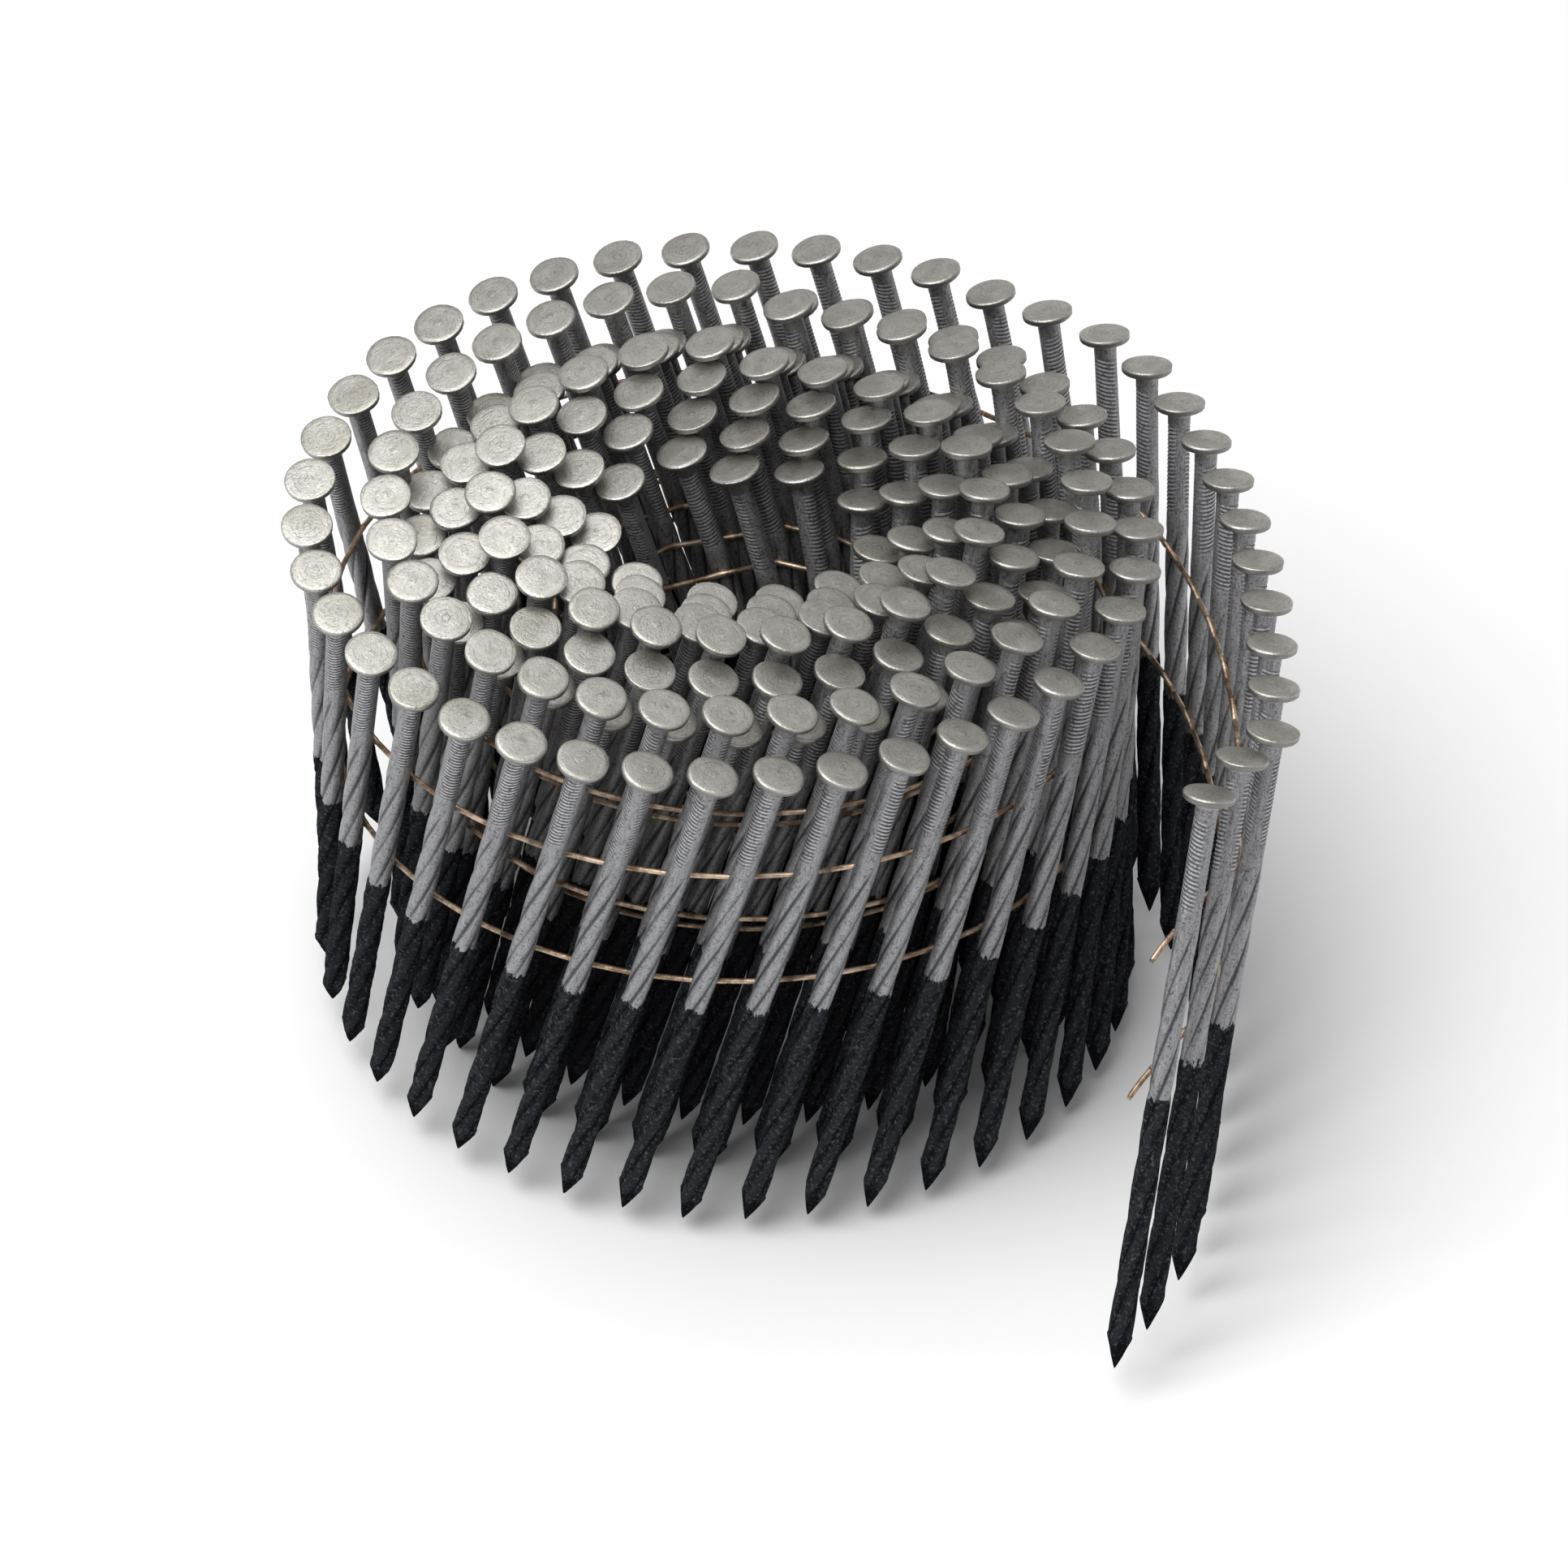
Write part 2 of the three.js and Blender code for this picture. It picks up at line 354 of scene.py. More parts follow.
def grip_rings(rng):
    """The band of fine slanted serrations under the head, deepest on two sides."""
    slant = SERRATION_SLANT * SHANK_RADIUS * np.cos(ANGLES)
    bite = SERRATION_CUT * (SERRATION_BACKS + (1 - SERRATION_BACKS) * np.abs(np.sin(ANGLES)))
    rings = []
    count = int((FLUTE_DEPTH - GRIP_DEPTH - SERRATION_END_GAP) / SERRATION_PITCH)
    for i in range(count):
        depth = GRIP_DEPTH + i * SERRATION_PITCH
        worn = rng.uniform(*SERRATION_WEAR)
        fade = min(1.0, (i + 1) / SERRATIONS_FADED_IN)
        for share, cut in SERRATION_OUTLINE:
            height = -(depth + share * SERRATION_PITCH) + slant * fade
            rings.append((SHANK_RADIUS - cut * worn * bite, height))
    return rings


def flute_offset():
    """How far round each angle is from the nearest flute."""
    period = 2 * math.pi / FLUTES
    return (ANGLES + period / 2) % period - period / 2


def flute_number():
    """Which flute each angle is nearest."""
    return np.floor(ANGLES / (2 * math.pi / FLUTES) + 0.5).astype(int) % FLUTES


def flute_section(share, worn):
    """Radii round the fluted shank. Each flute is worn by its own amount."""
    groove = FLUTE_CUT * worn[flute_number()] * np.exp(-((flute_offset() / FLUTE_WIDTH) ** 2))
    square = -FLUTE_SQUARING * np.cos(FLUTES * ANGLES)
    return SHANK_RADIUS + LAND_RISE + share * (square - groove)


def shank_rings(rng):
    """The fluted shank: (radii, heights, twist) from the serrations to the point."""
    rings = []
    count = int((POINT_DEPTH - FLUTE_DEPTH) / SHANK_RING_STEP)
    wobble = np.cumsum(rng.normal(size=count + 1)) * SHANK_DRIFT
    phases = rng.uniform(0, 2 * math.pi, FLUTES)
    rates = rng.uniform(*WEAR_RATES, FLUTES)
    for i in range(count + 1):
        depth = FLUTE_DEPTH + (POINT_DEPTH - FLUTE_DEPTH) * i / count
        twist = (depth - FLUTE_DEPTH) * 2 * math.pi / FLUTE_LEAD
        worn = 1 - FLUTE_WEAR + FLUTE_WEAR * np.sin(i * rates + phases)
        radii = flute_section(min(1.0, FLUTE_START + i * FLUTE_FADE), worn)
        if depth > COATING_DEPTH:
            radii = radii + COATING_THICKNESS + ring_noise(rng, COATING_WAVES, COATING_ROUGHNESS)
        else:
            radii = radii + ring_noise(rng, SHANK_WAVES, SHANK_ROUGHNESS)
        rings.append((radii + math.sin(wobble[i]) * SHANK_SWELL, even(-depth), twist))
    return rings


def point_rings(rng, twist):
    """The four-sided point, with a shoulder pinched by the cutting dies."""
    square = 1 / np.cos(flute_offset()) / math.sqrt(2)
    rings = []
    for share, width in POINT_OUTLINE:
        depth = POINT_DEPTH + share * (NAIL_LENGTH - LAST_RING_GAP - POINT_DEPTH)
        radii = POINT_RADIUS * width * square * (1 + POINT_ROUGHNESS * rng.normal())
        rings.append((radii, even(-depth), twist - POINT_TWIST * share))
    return rings


def ring_faces(rings, segments):
    """Faces of a closed solid: a first point, some rings of points in order, and a last point."""
    around = np.arange(segments)
    after = (around + 1) % segments
    none = np.full(segments, -1)
    faces = [np.stack([np.zeros(segments, int), 1 + around, 1 + after, none], axis=1)]
    for i in range(rings - 1):
        upper = 1 + i * segments
        lower = upper + segments
        faces.append(np.stack([upper + around, lower + around, lower + after, upper + after], axis=1))
    base = 1 + (rings - 1) * segments
    last = np.full(segments, base + segments)
    faces.append(np.stack([last, base + after, base + around, none], axis=1))
    return np.concatenate(faces)


def nail_shape(seed):
    """One closed nail about its own axis: its points and its faces."""
    rng = np.random.default_rng(seed)
    rings = [(radii, heights, 0.0) for radii, heights in head_rings(rng) + grip_rings(rng)]
    rings += shank_rings(rng)
    rings += point_rings(rng, rings[-1][2])
    points = [np.array([[0.0, 0.0, HEAD_CENTRE]])]
    for radii, heights, twist in rings:
        turned = ANGLES + twist
        points.append(np.stack([radii * np.cos(turned), radii * np.sin(turned), heights], axis=1))
    points.append(np.array([[0.0, 0.0, -NAIL_LENGTH + TIP_GAP]]))
    return np.concatenate(points), ring_faces(len(rings), SEGMENTS)


def wire_tube(path, radii):
    """A closed round tube along a few points: its points and its faces."""
    angle = np.arange(WIRE_SEGMENTS) * 2 * math.pi / WIRE_SEGMENTS
    path = np.array(path)
    points = []
    for i, centre in enumerate(path):
        run = unit(path[min(i + 1, len(path) - 1)] - path[max(i - 1, 0)])
        across = unit(np.cross(run, UP))
        rise = np.cross(across, run)
        ring = np.outer(np.cos(angle), across) + np.outer(np.sin(angle), rise)
        points.append(centre + ring * radii[i])
    points = np.concatenate([path[:1]] + points + [path[-1:]])
    return points, ring_faces(len(path), WIRE_SEGMENTS)


# ---------------------------------------------------------------- meshes

def join(parts):
    """Joins (points, faces, local, seed) parts into one set of arrays. A face's -1 is no corner."""
    points, faces, local, seeds = [], [], [], []
    count = 0
    for part_points, part_faces, part_local, seed in parts:
        points.append(part_points)
        faces.append(np.where(part_faces < 0, -1, part_faces + count))
        local.append(part_local)
        seeds.append(np.full(len(part_points), seed))
        count += len(part_points)
    return np.concatenate(points), np.concatenate(faces), np.concatenate(local), np.concatenate(seeds)


def mesh_object(name, parts, material):
    """A mesh of several closed parts. Each point keeps its place on its own part, and its seed."""
    points, faces, local, seeds = join(parts)
    mesh = bpy.data.meshes.new(name)
    mesh.vertices.add(len(points))
    mesh.vertices.foreach_set("co", (points * MM).astype(np.float32).ravel())
    sizes = np.where(faces[:, 3] < 0, 3, 4)
    corners = faces.ravel()
    mesh.loops.add(int(sizes.sum()))
    mesh.loops.foreach_set("vertex_index", corners[corners >= 0].astype(np.int32))
    mesh.polygons.add(len(faces))
    starts = np.concatenate([[0], np.cumsum(sizes)[:-1]])
    mesh.polygons.foreach_set("loop_start", starts.astype(np.int32))
    mesh.polygons.foreach_set("use_smooth", np.ones(len(faces), bool))
    place = mesh.attributes.new("place", "FLOAT_VECTOR", "POINT")
    place.data.foreach_set("vector", local.astype(np.float32).ravel())
    seed = mesh.attributes.new("seed", "FLOAT", "POINT")
    seed.data.foreach_set("value", seeds.astype(np.float32))
    mesh.update(calc_edges=True)
    mesh.validate()
    mesh.materials.append(material)
    piece = bpy.data.objects.new(name, mesh)
    bpy.context.scene.collection.objects.link(piece)
    return piece


def span_path(start, end, at_start, at_end):
    """A wire from one nail to the next, flattened where it is welded to either of them."""
    path, radii = [], []
    outline = list(WELD) if at_start else [(0.0, 1.0)]
    outline += [(1 - share, width) for share, width in reversed(WELD)] if at_end else [(1.0, 1.0)]
    for share, width in outline:
        path.append(start + (end - start) * share)
        radii.append(WIRE_RADIUS * width)
    return path, radii


def half_way(point, far, room):
    """Where a wire's half ends: short of the middle by the room that a bend needs to close."""
    reach = far - point
    return point + reach * (0.5 - room / np.linalg.norm(reach))


def strip_wire(nails, depth, before, after, room):
    """One wire of a piece, with its halves towards the pieces before and after it."""
    path, radii = [], []

    def add(more):
        path.extend(more[0][1:] if path else more[0])
        radii.extend(more[1][1:] if radii else more[1])

    points = [nail.on(depth, WIRE_INSET) for nail in nails]
    if before:
        start = half_way(points[0], before.on(depth, WIRE_INSET), room)
        add(span_path(start, points[0], False, True))
    for near, far in zip(points, points[1:]):
        add(span_path(near, far, True, True))
    if after:
        end = half_way(points[-1], after.on(depth, WIRE_INSET), room)
        add(span_path(points[-1], end, True, False))
    return wire_tube(path, radii)


def placed_nail(nail, shape, rng):
    """A copy of a nail's shape at its place, with a little looseness of its own."""
    points, faces = shape
    roll = rng.uniform(0, 2 * math.pi)
    cos, sin = math.cos(roll), math.sin(roll)
    inward = np.cross(nail.axis, nail.side)
    side = nail.side * cos + inward * sin
    inward = np.cross(nail.axis, side)
    lift = rng.uniform(-HEIGHT_SLACK, HEIGHT_SLACK)
    top = nail.top + nail.axis * lift
    world = points[:, :1] * side + points[:, 1:2] * inward + points[:, 2:] * nail.axis + top
    return world, faces, points, rng.uniform()


def mount_point(name):
    """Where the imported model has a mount, in millimetres."""
    for mount in frame["record"]["mounts"]:
        if mount["name"] == name:
            return np.array(mount["pos_m"]) / MM
    raise KeyError(name)


def move_onto_model(pieces):
    """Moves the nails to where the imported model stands, by the top of the tail's last nail."""
    offset = mount_point("lead_nail_head") - pieces[-1][1][0].top
    for _, nails, _ in pieces:
        for nail in nails:
            nail.top = nail.top + offset


def add_wire_ends(last, body, copper, rng):
    """The cut ends of the two wires, which droop away from the last nail."""
    reach = (-last.along - last.axis * WIRE_END_DIP * WIRE_END_DROOP) * WIRE_END_REACH
    for name, depth in (("upper_wire_end", UPPER_WIRE_DEPTH), ("lower_wire_end", LOWER_WIRE_DEPTH)):
        start = last.on(depth, WIRE_INSET)
        path = [start]
        radii = [WIRE_RADIUS * WIRE_END_WELD]
        for share in WIRE_END_SHARES:
            sag = last.axis * (share * share * WIRE_END_DROOP)
            sag += last.out * (share * WIRE_END_DROOP / 2)
            path.append(start + reach * share - sag)
            radii.append(WIRE_RADIUS * (WIRE_END_TIP if share == 1.0 else 1.0))
        points, faces = wire_tube(path, radii)
        piece = mesh_object(f"{name}_cut", [(points, faces, points, rng.uniform())], copper)
        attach(piece, body)
        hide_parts(name)


def build_pieces(steel, copper):
    """Makes the nails and wires of every piece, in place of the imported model's plain ones."""
    shapes = [nail_shape(SEED + i) for i in range(NAIL_SHAPES)]
    pieces = nail_pieces()
    move_onto_model(pieces)
    rng = np.random.default_rng(SEED)
    for i, (name, nails, body) in enumerate(pieces):
        before = pieces[i - 1][1][-1] if i else None
        after = pieces[i + 1][1][0] if i + 1 < len(pieces) else None
        nail_parts = []
        for nail in nails:
            nail_parts.append(placed_nail(nail, shapes[rng.integers(NAIL_SHAPES)], rng))
        wire_parts = []
        room = 0.0 if body == "coil" else WIRE_ROOM
        for depth in (UPPER_WIRE_DEPTH, LOWER_WIRE_DEPTH):
            points, faces = strip_wire(nails, depth, before, after, room)
            wire_parts.append((points, faces, points, rng.uniform()))
        nails_piece = mesh_object(f"{name}_nails", nail_parts, steel)
        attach(nails_piece, body)
        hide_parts(name)
        wires_piece = mesh_object(f"{name}_wires", wire_parts, copper)
        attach(wires_piece, body)
    add_wire_ends(pieces[-1][1][0], pieces[-1][2], copper, rng)


# ---------------------------------------------------------------- materials

class Graph:
    """A material's nodes, added by short calls. A value is a number, a colour or a node's output."""

    def __init__(self, name):
        self.material = bpy.data.materials.new(name)
        self.material.use_nodes = True
        self.nodes = self.material.node_tree.nodes
        self.links = self.material.node_tree.links
        self.shader = self.nodes["Principled BSDF"]

    def put(self, socket, value):
        """Links a node's output to the socket, or sets the socket to a plain value."""
        if isinstance(value, bpy.types.NodeSocket):
            self.links.new(value, socket)
        else:
            socket.default_value = value

    def node(self, kind, inputs=(), **settings):
        node = self.nodes.new(kind)
        for key, value in settings.items():
            setattr(node, key, value)
        for key, value in dict(inputs).items():
            self.put(node.inputs[key], value)
        return node

    def math(self, operation, first, second=0.0, third=0.0):
        inputs = {0: first, 1: second, 2: third}
        return self.node("ShaderNodeMath", inputs, operation=operation).outputs[0]

    def vector(self, operation, first, second):
        return self.node("ShaderNodeVectorMath", {0: first, 1: second}, operation=operation).outputs[0]

    def attribute(self, name, output):
        return self.node("ShaderNodeAttribute", attribute_name=name).outputs[output]

    def noise(self, vector, scale, detail=3.0, roughness=0.6):
        inputs = {"Vector": vector, "Scale": scale, "Detail": detail, "Roughness": roughness}
        return self.node("ShaderNodeTexNoise", inputs).outputs["Fac"]

    def step(self, value, low, high, start=0.0, end=1.0):
        """A smooth step from start to end, as the value goes from low to high."""
        inputs = {0: value, 1: low, 2: high, 3: start, 4: end}
        return self.node("ShaderNodeMapRange", inputs, interpolation_type="SMOOTHSTEP").outputs[0]

    def mix(self, share, first, second):
        node = self.node("ShaderNodeMix", data_type="RGBA")
        self.put(node.inputs[0], share)
        self.put(node.inputs[6], first)
        self.put(node.inputs[7], second)
        return node.outputs[2]

    def shade(self, colour, share):
        """The colour, scaled by a number."""
        node = self.node("ShaderNodeVectorMath", {0: colour}, operation="SCALE")
        self.put(node.inputs[3], share)
        return node.outputs[0]

    def bump(self, height, distance):
        inputs = {"Height": height, "Distance": distance, "Strength": 1.0}
        return self.node("ShaderNodeBump", inputs).outputs[0]


def rgb(red, green, blue):
    return (red, green, blue, 1.0)


HEAD_GREY = rgb(0.5, 0.49, 0.445)
HEAD_PALE = rgb(0.62, 0.61, 0.56)
HEAD_TIRED = rgb(0.36, 0.345, 0.285)
HEAD_SCRATCH = rgb(0.33, 0.325, 0.3)
HEAD_RING = rgb(0.22, 0.215, 0.2)
HEAD_SMUDGE = rgb(0.2, 0.195, 0.185)
HEAD_SPECK = rgb(0.15, 0.14, 0.12)
HEAD_RUST = rgb(0.26, 0.16, 0.085)
# painted shade for the side of the head, under its rim
HEAD_SIDE_SHADE = rgb(0.16, 0.16, 0.16)
STEEL_DARK = rgb(0.17, 0.171, 0.177)
STEEL_GREY = rgb(0.34, 0.342, 0.352)
# STEEL_BRIGHT gives random bright specks, and also the painted highlight on the shank's lands
STEEL_BRIGHT = rgb(0.5, 0.502, 0.51)
STEEL_PIT = rgb(0.07, 0.07, 0.075)
# painted shade in the shank's flutes
GROOVE_SHADE = rgb(0.03, 0.031, 0.034)
# painted shade in the serration cuts and a painted highlight on their crests
CUT_SHADE = rgb(0.045, 0.045, 0.05)
CREST_HIGHLIGHT = rgb(0.75, 0.75, 0.76)
COAT_DARK = rgb(0.011, 0.0118, 0.0145)
COAT_RUBBED = rgb(0.105, 0.109, 0.12)
# painted highlight on the coating's lands and painted shade in its grooves
COAT_LAND_HIGHLIGHT = rgb(0.085, 0.088, 0.095)
COAT_GROOVE_SHADE = rgb(0.004, 0.004, 0.005)
COPPER_BROWN = rgb(0.24, 0.155, 0.1)
COPPER_BRIGHT = rgb(0.7, 0.53, 0.39)
COPPER_STAIN = rgb(0.12, 0.075, 0.05)
FLOOR_DARKEST = rgb(0.95, 0.95, 0.95)
FLOOR_LIGHTEST = rgb(0.98, 0.98, 0.98)
SHANK_METALLIC = 0.65
HEAD_METALLIC = 0.88


class NailGraph(Graph):
    """What the parts of the nail's steel share: places on the nail, and its noises."""

    def __init__(self, name):
        super().__init__(name)
        place = self.attribute("place", "Vector")
        self.own = self.vector("ADD", place, self.shade((37.0, 91.0, 53.0), self.attribute("seed", "Fac")))
        split = self.node("ShaderNodeSeparateXYZ", {0: place})
        self.x = split.outputs[0]
        self.y = split.outputs[1]
        self.depth = self.math("MULTIPLY", split.outputs[2], -1.0)
        across = self.math("MULTIPLY_ADD", self.y, self.y, self.math("MULTIPLY", self.x, self.x))
        self.radius = self.math("SQRT", across)
        self.grain = self.noise(self.own, 2.6, 5.0, 0.7)
        self.fine = self.noise(self.own, 9.0, 3.0, 0.7)
        self.cloud = self.noise(self.own, 0.55, 3.0, 0.55)
        # Masks of the flutes' grooves and the lands between them. The colours paint shade into the grooves
        # and a highlight onto the lands.
        self.groove = self.step(self.radius, SHANK_RADIUS - 0.03, SHANK_RADIUS - 0.17)
        self.land = self.step(self.radius, SHANK_RADIUS + 0.03, SHANK_RADIUS + 0.08)

    def stain(self, colour, where, strength, stain):
        """The colour, with a stain mixed in by the strength where a mask says."""
        return self.mix(self.math("MULTIPLY", where, strength), colour, stain)


def head_look(g):
    """The struck top of the head: faint broken rings, a smudged middle, specks of dirt and rust, and
    painted shade down its side.
    """
    ring_wave = g.math("MULTIPLY_ADD", g.radius, 8.5, g.math("MULTIPLY", g.cloud, 9.0))
    broken = g.step(g.noise(g.vector("ADD", g.own, (4.0, 8.0, 1.0)), 0.9, 2.0), 0.42, 0.62)
    rings = g.math("MULTIPLY", g.step(g.math("SINE", ring_wave), 0.55, 1.0), broken)
    tired = g.step(g.noise(g.vector("ADD", g.own, (9.0, 2.0, 5.0)), 0.12, 1.0), 0.52, 0.66)
    middle = g.math("MULTIPLY", g.step(g.radius, 0.9, 0.2), g.step(g.grain, 0.45, 0.62))
    specks = g.step(g.noise(g.own, 4.3, 2.0, 0.5), 0.64, 0.69)
    rusty = g.step(g.noise(g.own, 1.7, 4.0, 0.65), 0.6, 0.68)
    rust = g.math("MULTIPLY", rusty, g.math("ADD", tired, 0.12))
    colour = g.mix(g.step(g.cloud, 0.35, 0.7), HEAD_GREY, HEAD_PALE)
    colour = g.stain(colour, tired, 0.5, HEAD_TIRED)
    colour = g.mix(g.step(g.grain, 0.42, 0.62, 0.0, 0.35), colour, HEAD_SCRATCH)
    colour = g.stain(colour, rings, 0.4, HEAD_RING)
    colour = g.stain(colour, middle, 0.4, HEAD_SMUDGE)
    colour = g.stain(colour, specks, 0.7, HEAD_SPECK)
    colour = g.stain(colour, rust, 0.6, HEAD_RUST)
    # Painted shade down the head's side, a dark line under the rim.
    colour = g.stain(colour, g.step(g.depth, 0.26, 0.42), 0.8, HEAD_SIDE_SHADE)
    return colour, rings


def shank_look(g):
    """The drawn shank: fine grain, lengthwise streaks, painted shade in the grooves and a painted highlight
    on the lands.
    """
    streak = g.noise(g.vector("MULTIPLY", g.own, (5.0, 5.0, 0.5)), 1.0, 4.0, 0.65)
    colour = g.mix(g.step(streak, 0.3, 0.72), STEEL_DARK, STEEL_GREY)
    colour = g.mix(g.step(g.fine, 0.45, 0.65, 0.0, 0.7), colour, STEEL_BRIGHT)
    colour = g.mix(g.step(g.grain, 0.48, 0.38, 0.0, 0.75), colour, STEEL_PIT)
    # Painted shade in the grooves.
    colour = g.stain(colour, g.groove, 0.8, GROOVE_SHADE)
    # Painted highlight on the lands.
    colour = g.stain(colour, g.land, 0.35, STEEL_BRIGHT)
    return colour, streak


def serration_look(g, colour):
    """The serrations, slanted, on two sides of the nail: painted shade in each cut and a painted highlight
    on each crest.
    """
    slanted = g.math("MULTIPLY_ADD", g.x, SERRATION_SLANT, g.depth)
    pitches = g.math("DIVIDE", g.math("SUBTRACT", slanted, GRIP_DEPTH), SERRATION_PITCH)
    tooth = g.math("FRACT", pitches)
    band = g.step(slanted, GRIP_DEPTH, GRIP_DEPTH + 0.5)
    band = g.math("MULTIPLY", band, g.step(g.math("DIVIDE", g.math("ABSOLUTE", g.y), g.radius), 0.35, 0.75))
    end = FLUTE_DEPTH - SERRATION_END_GAP
    band = g.math("MULTIPLY", band, g.step(slanted, end, end - 1.4))
    band = g.math("MULTIPLY", band, g.step(g.grain, 0.36, 0.5))
    from_cut = g.math("ABSOLUTE", g.math("SUBTRACT", tooth, CUT_SHARE))
    from_crest = g.math("ABSOLUTE", g.math("SUBTRACT", tooth, CREST_SHARE))
    cut = g.math("MULTIPLY", g.step(from_cut, 0.22, 0.1), band)
    crest = g.math("MULTIPLY", g.step(from_crest, 0.18, 0.08), band)
    # Painted shade in each cut and a painted highlight on each crest.
    colour = g.stain(colour, cut, 0.75, CUT_SHADE)
    colour = g.stain(colour, crest, 0.6, CREST_HIGHLIGHT)
    return colour, cut


def coat_look(g):
    """The coating: charcoal, with lighter rubbed grains, a painted highlight on the land edges and painted
    shade in the grooves, ending in a ragged edge.
    """
    rubbed = g.step(g.noise(g.own, 2.2, 7.0, 0.8), 0.47, 0.62)
    colour = g.mix(rubbed, COAT_DARK, COAT_RUBBED)
    # Painted highlight on the lands and painted shade in the grooves.
    colour = g.stain(colour, g.land, 0.15, COAT_LAND_HIGHLIGHT)
    colour = g.stain(colour, g.groove, 0.6, COAT_GROOVE_SHADE)
    ragged = g.noise(g.vector("MULTIPLY", g.own, (1.0, 1.0, 0.35)), 1.6, 4.0, 0.7)
    edge = g.math("MULTIPLY_ADD", ragged, 3.4, -1.7)
    coated = g.step(g.math("ADD", g.depth, edge), COATING_DEPTH - 0.1, COATING_DEPTH + 0.1)
    return colour, rubbed, coated


def steel_material():
    """Bright drawn shanks with pale struck heads, and a charcoal coating towards the points."""
    g = NailGraph("nail_steel")
    head, rings = head_look(g)
    shank, streak = shank_look(g)
    shank, cut = serration_look(g, shank)
    coat, rubbed, coated = coat_look(g)
    colour = g.mix(g.step(g.depth, 0.85, 1.15), head, shank)
    g.put(g.shader.inputs["Base Color"], g.mix(coated, colour, coat))
    metallic = g.step(g.depth, 0.3, 1.2, HEAD_METALLIC, SHANK_METALLIC)
    metallic = g.math("MULTIPLY", metallic, g.step(coated, 0.0, 1.0, 1.0, 0.0))
    g.put(g.shader.inputs["Metallic"], metallic)
    rough = g.math("ADD", g.step(g.grain, 0.3, 0.75, 0.26, 0.4), g.step(g.depth, 0.3, 1.2, 0.0, 0.18))
    g.put(g.shader.inputs["Roughness"], g.math("ADD", rough, g.math("MULTIPLY", coated, 0.2)))
    g.put(g.shader.inputs["Specular IOR Level"], g.step(coated, 0.0, 1.0, 0.5, 0.0))

    # Relief in millimetres: rings on the head, grain, streaks and cuts on the shank, a rough coating.
    relief = g.math("MULTIPLY", g.math("MULTIPLY", rings, g.step(g.depth, 0.6, 0.2)), -0.012)
    for height, depth in ((g.grain, 0.05), (g.fine, 0.02), (streak, 0.03), (cut, -0.05)):
        relief = g.math("MULTIPLY_ADD", height, depth, relief)
    relief = g.math("MULTIPLY_ADD", coated, g.math("MULTIPLY_ADD", rubbed, 0.08, 0.04), relief)
    g.put(g.shader.inputs["Normal"], g.bump(g.math("MULTIPLY", relief, MM), 1.0))
    return g.material


def copper_material():
    """Copper-washed wire, browned in patches."""
    g = Graph("collation_wire")
    place = g.attribute("place", "Vector")
    patches = g.noise(place, 0.5, 4.0, 0.65)
    grain = g.noise(place, 7.0, 3.0, 0.6)
    colour = g.mix(g.step(patches, 0.38, 0.62), COPPER_BROWN, COPPER_BRIGHT)
    colour = g.mix(g.step(grain, 0.6, 0.72, 0.0, 0.55), colour, COPPER_STAIN)
    g.put(g.shader.inputs["Base Color"], colour)
    g.shader.inputs["Metallic"].default_value = 0.85
    g.put(g.shader.inputs["Roughness"], g.step(grain, 0.3, 0.7, 0.28, 0.5))
    g.put(g.shader.inputs["Normal"], g.bump(g.math("MULTIPLY", grain, 0.03 * MM), 1.0))
    return g.material


def floor_material():
    """Plain pale paper."""
    g = Graph("floor_paper")
    fibre = g.noise(g.node("ShaderNodeTexCoord").outputs["Object"], 40.0, 4.0)
    g.put(g.shader.inputs["Base Color"], g.mix(fibre, FLOOR_DARKEST, FLOOR_LIGHTEST))
    g.shader.inputs["Roughness"].default_value = 0.9
    return g.material


# ---------------------------------------------------------------- studio

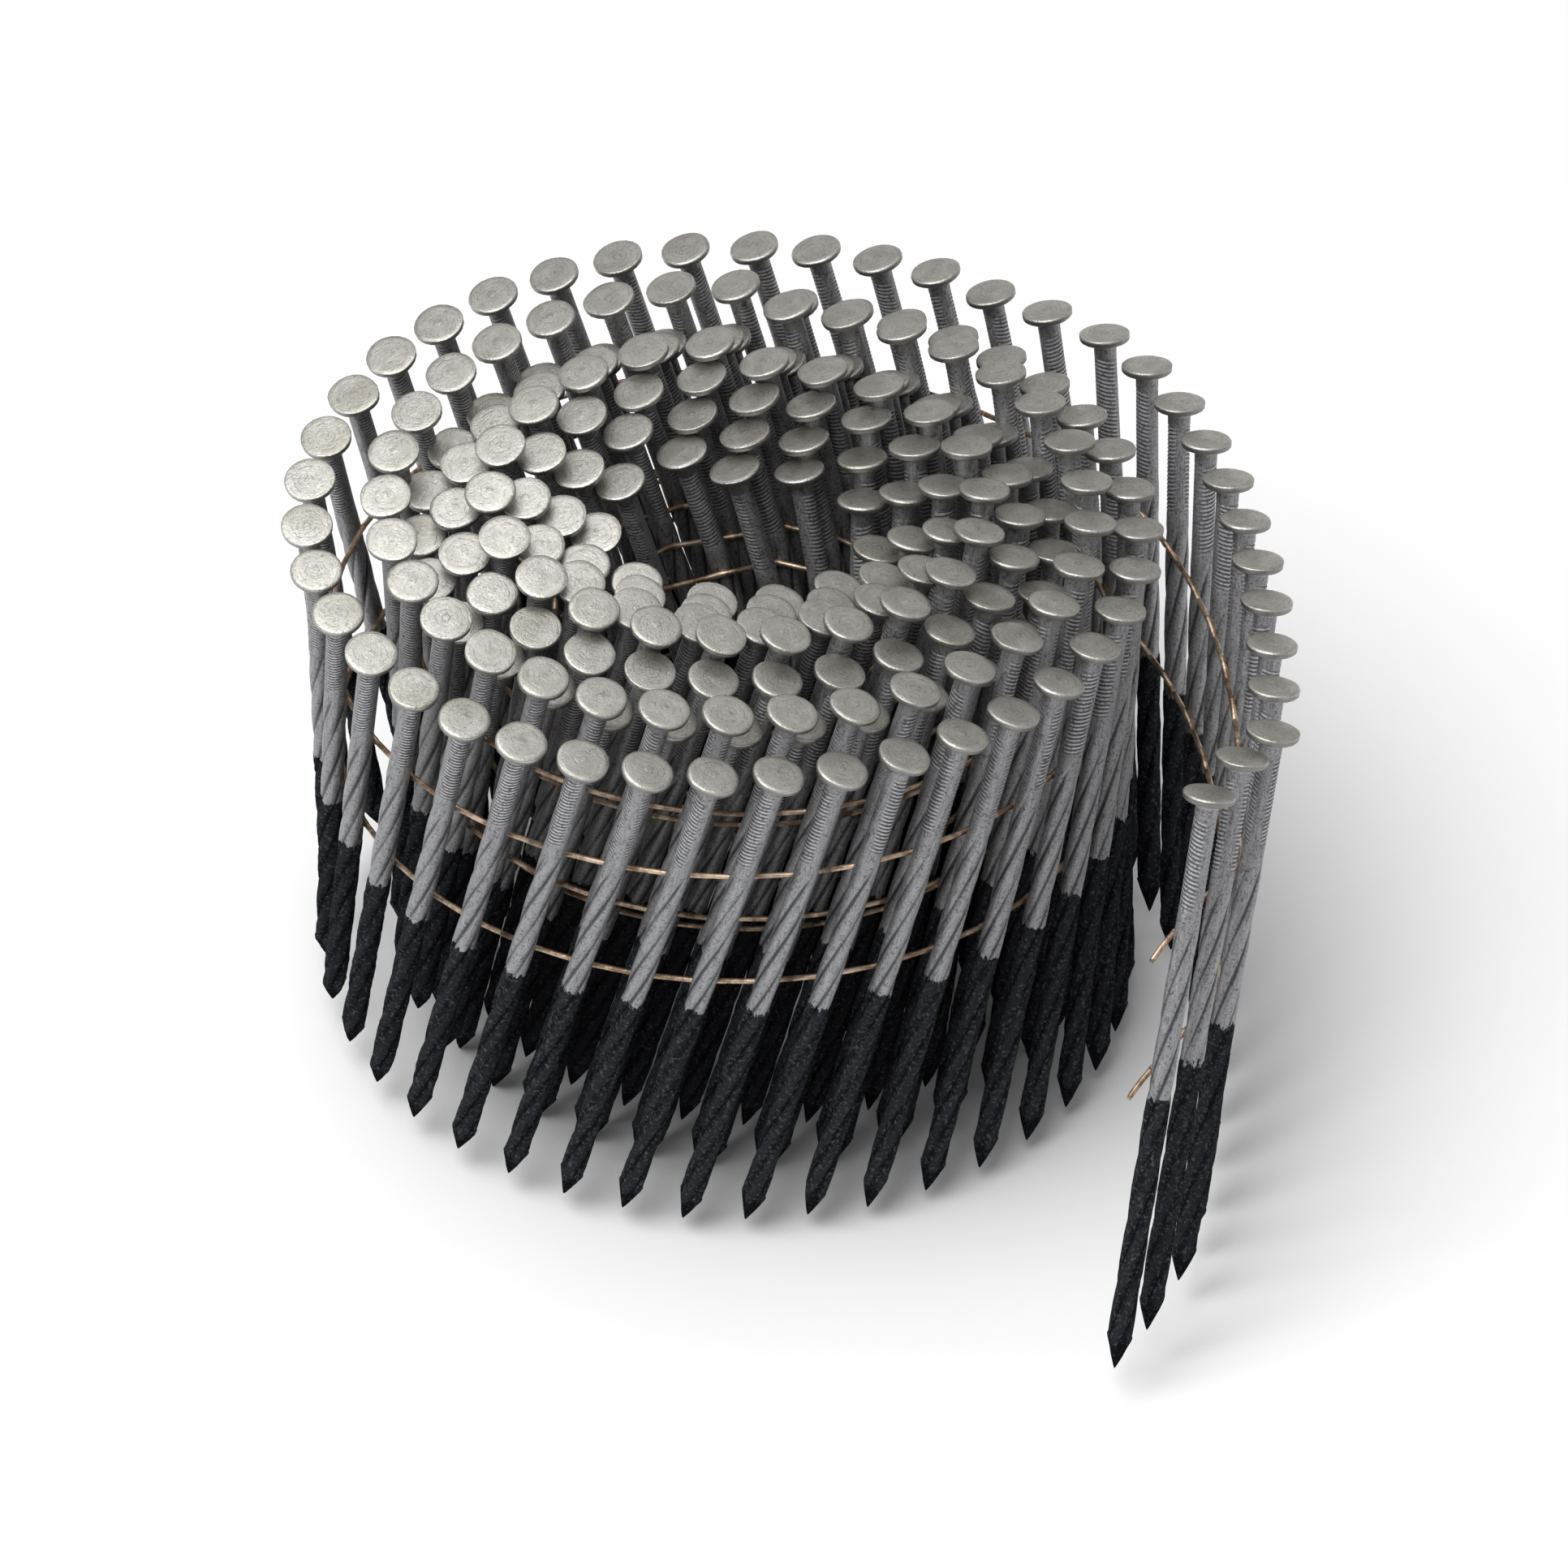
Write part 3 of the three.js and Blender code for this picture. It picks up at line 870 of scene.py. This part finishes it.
# The studio is in metres and watts.
FLOOR_SIZE = 6.0
CAMERA_DISTANCE = 1.05
CAMERA_ELEVATION = math.radians(41.1)
CAMERA_LENS = 220.0
CAMERA_SENSOR = 36.0
CAMERA_NEAR = 0.05
CAMERA_TARGET = Vector((-0.00017, -0.03687, 0.0699))
WORLD_STRENGTH = 0.45
LIGHT_TARGET = Vector((0.0, 0.0, 0.04))
LIGHTS = [
    # name, place, diameter, power
    ("softbox", (-0.3, -0.3, 0.9), 0.8, 7.6),
    ("overhead", (-0.1, 0.25, 0.95), 0.5, 1.45),
]


def aim(thing, target):
    thing.rotation_euler = (target - thing.location).to_track_quat("-Z", "Y").to_euler()


def add_camera():
    camera = bpy.data.objects.new("camera", bpy.data.cameras.new("camera"))
    bpy.context.scene.collection.objects.link(camera)
    back = Vector((0.0, -math.cos(CAMERA_ELEVATION), math.sin(CAMERA_ELEVATION)))
    camera.location = CAMERA_TARGET + back * CAMERA_DISTANCE
    camera.data.lens = CAMERA_LENS
    camera.data.sensor_width = CAMERA_SENSOR
    camera.data.clip_start = CAMERA_NEAR
    aim(camera, CAMERA_TARGET)
    bpy.context.scene.camera = camera


def add_light(name, place, diameter, power):
    light = bpy.data.lights.new(name, "AREA")
    light.shape = "DISK"
    light.size = diameter
    light.energy = power
    lamp = bpy.data.objects.new(name, light)
    bpy.context.scene.collection.objects.link(lamp)
    lamp.location = place
    aim(lamp, LIGHT_TARGET)


def add_studio():
    """A pale floor under a soft white sky, with a softbox at the front left."""
    bpy.ops.mesh.primitive_plane_add(size=FLOOR_SIZE)
    floor = bpy.context.object
    floor.name = "floor"
    floor.data.materials.append(floor_material())
    world = bpy.data.worlds.new("studio")
    bpy.context.scene.world = world
    world.use_nodes = True
    background = world.node_tree.nodes["Background"]
    background.inputs[0].default_value = rgb(1.0, 1.0, 1.0)
    background.inputs[1].default_value = WORLD_STRENGTH
    for light in LIGHTS:
        add_light(*light)
    bpy.context.scene.view_settings.view_transform = "Standard"


add_camera()
add_studio()
build_pieces(steel_material(), copper_material())
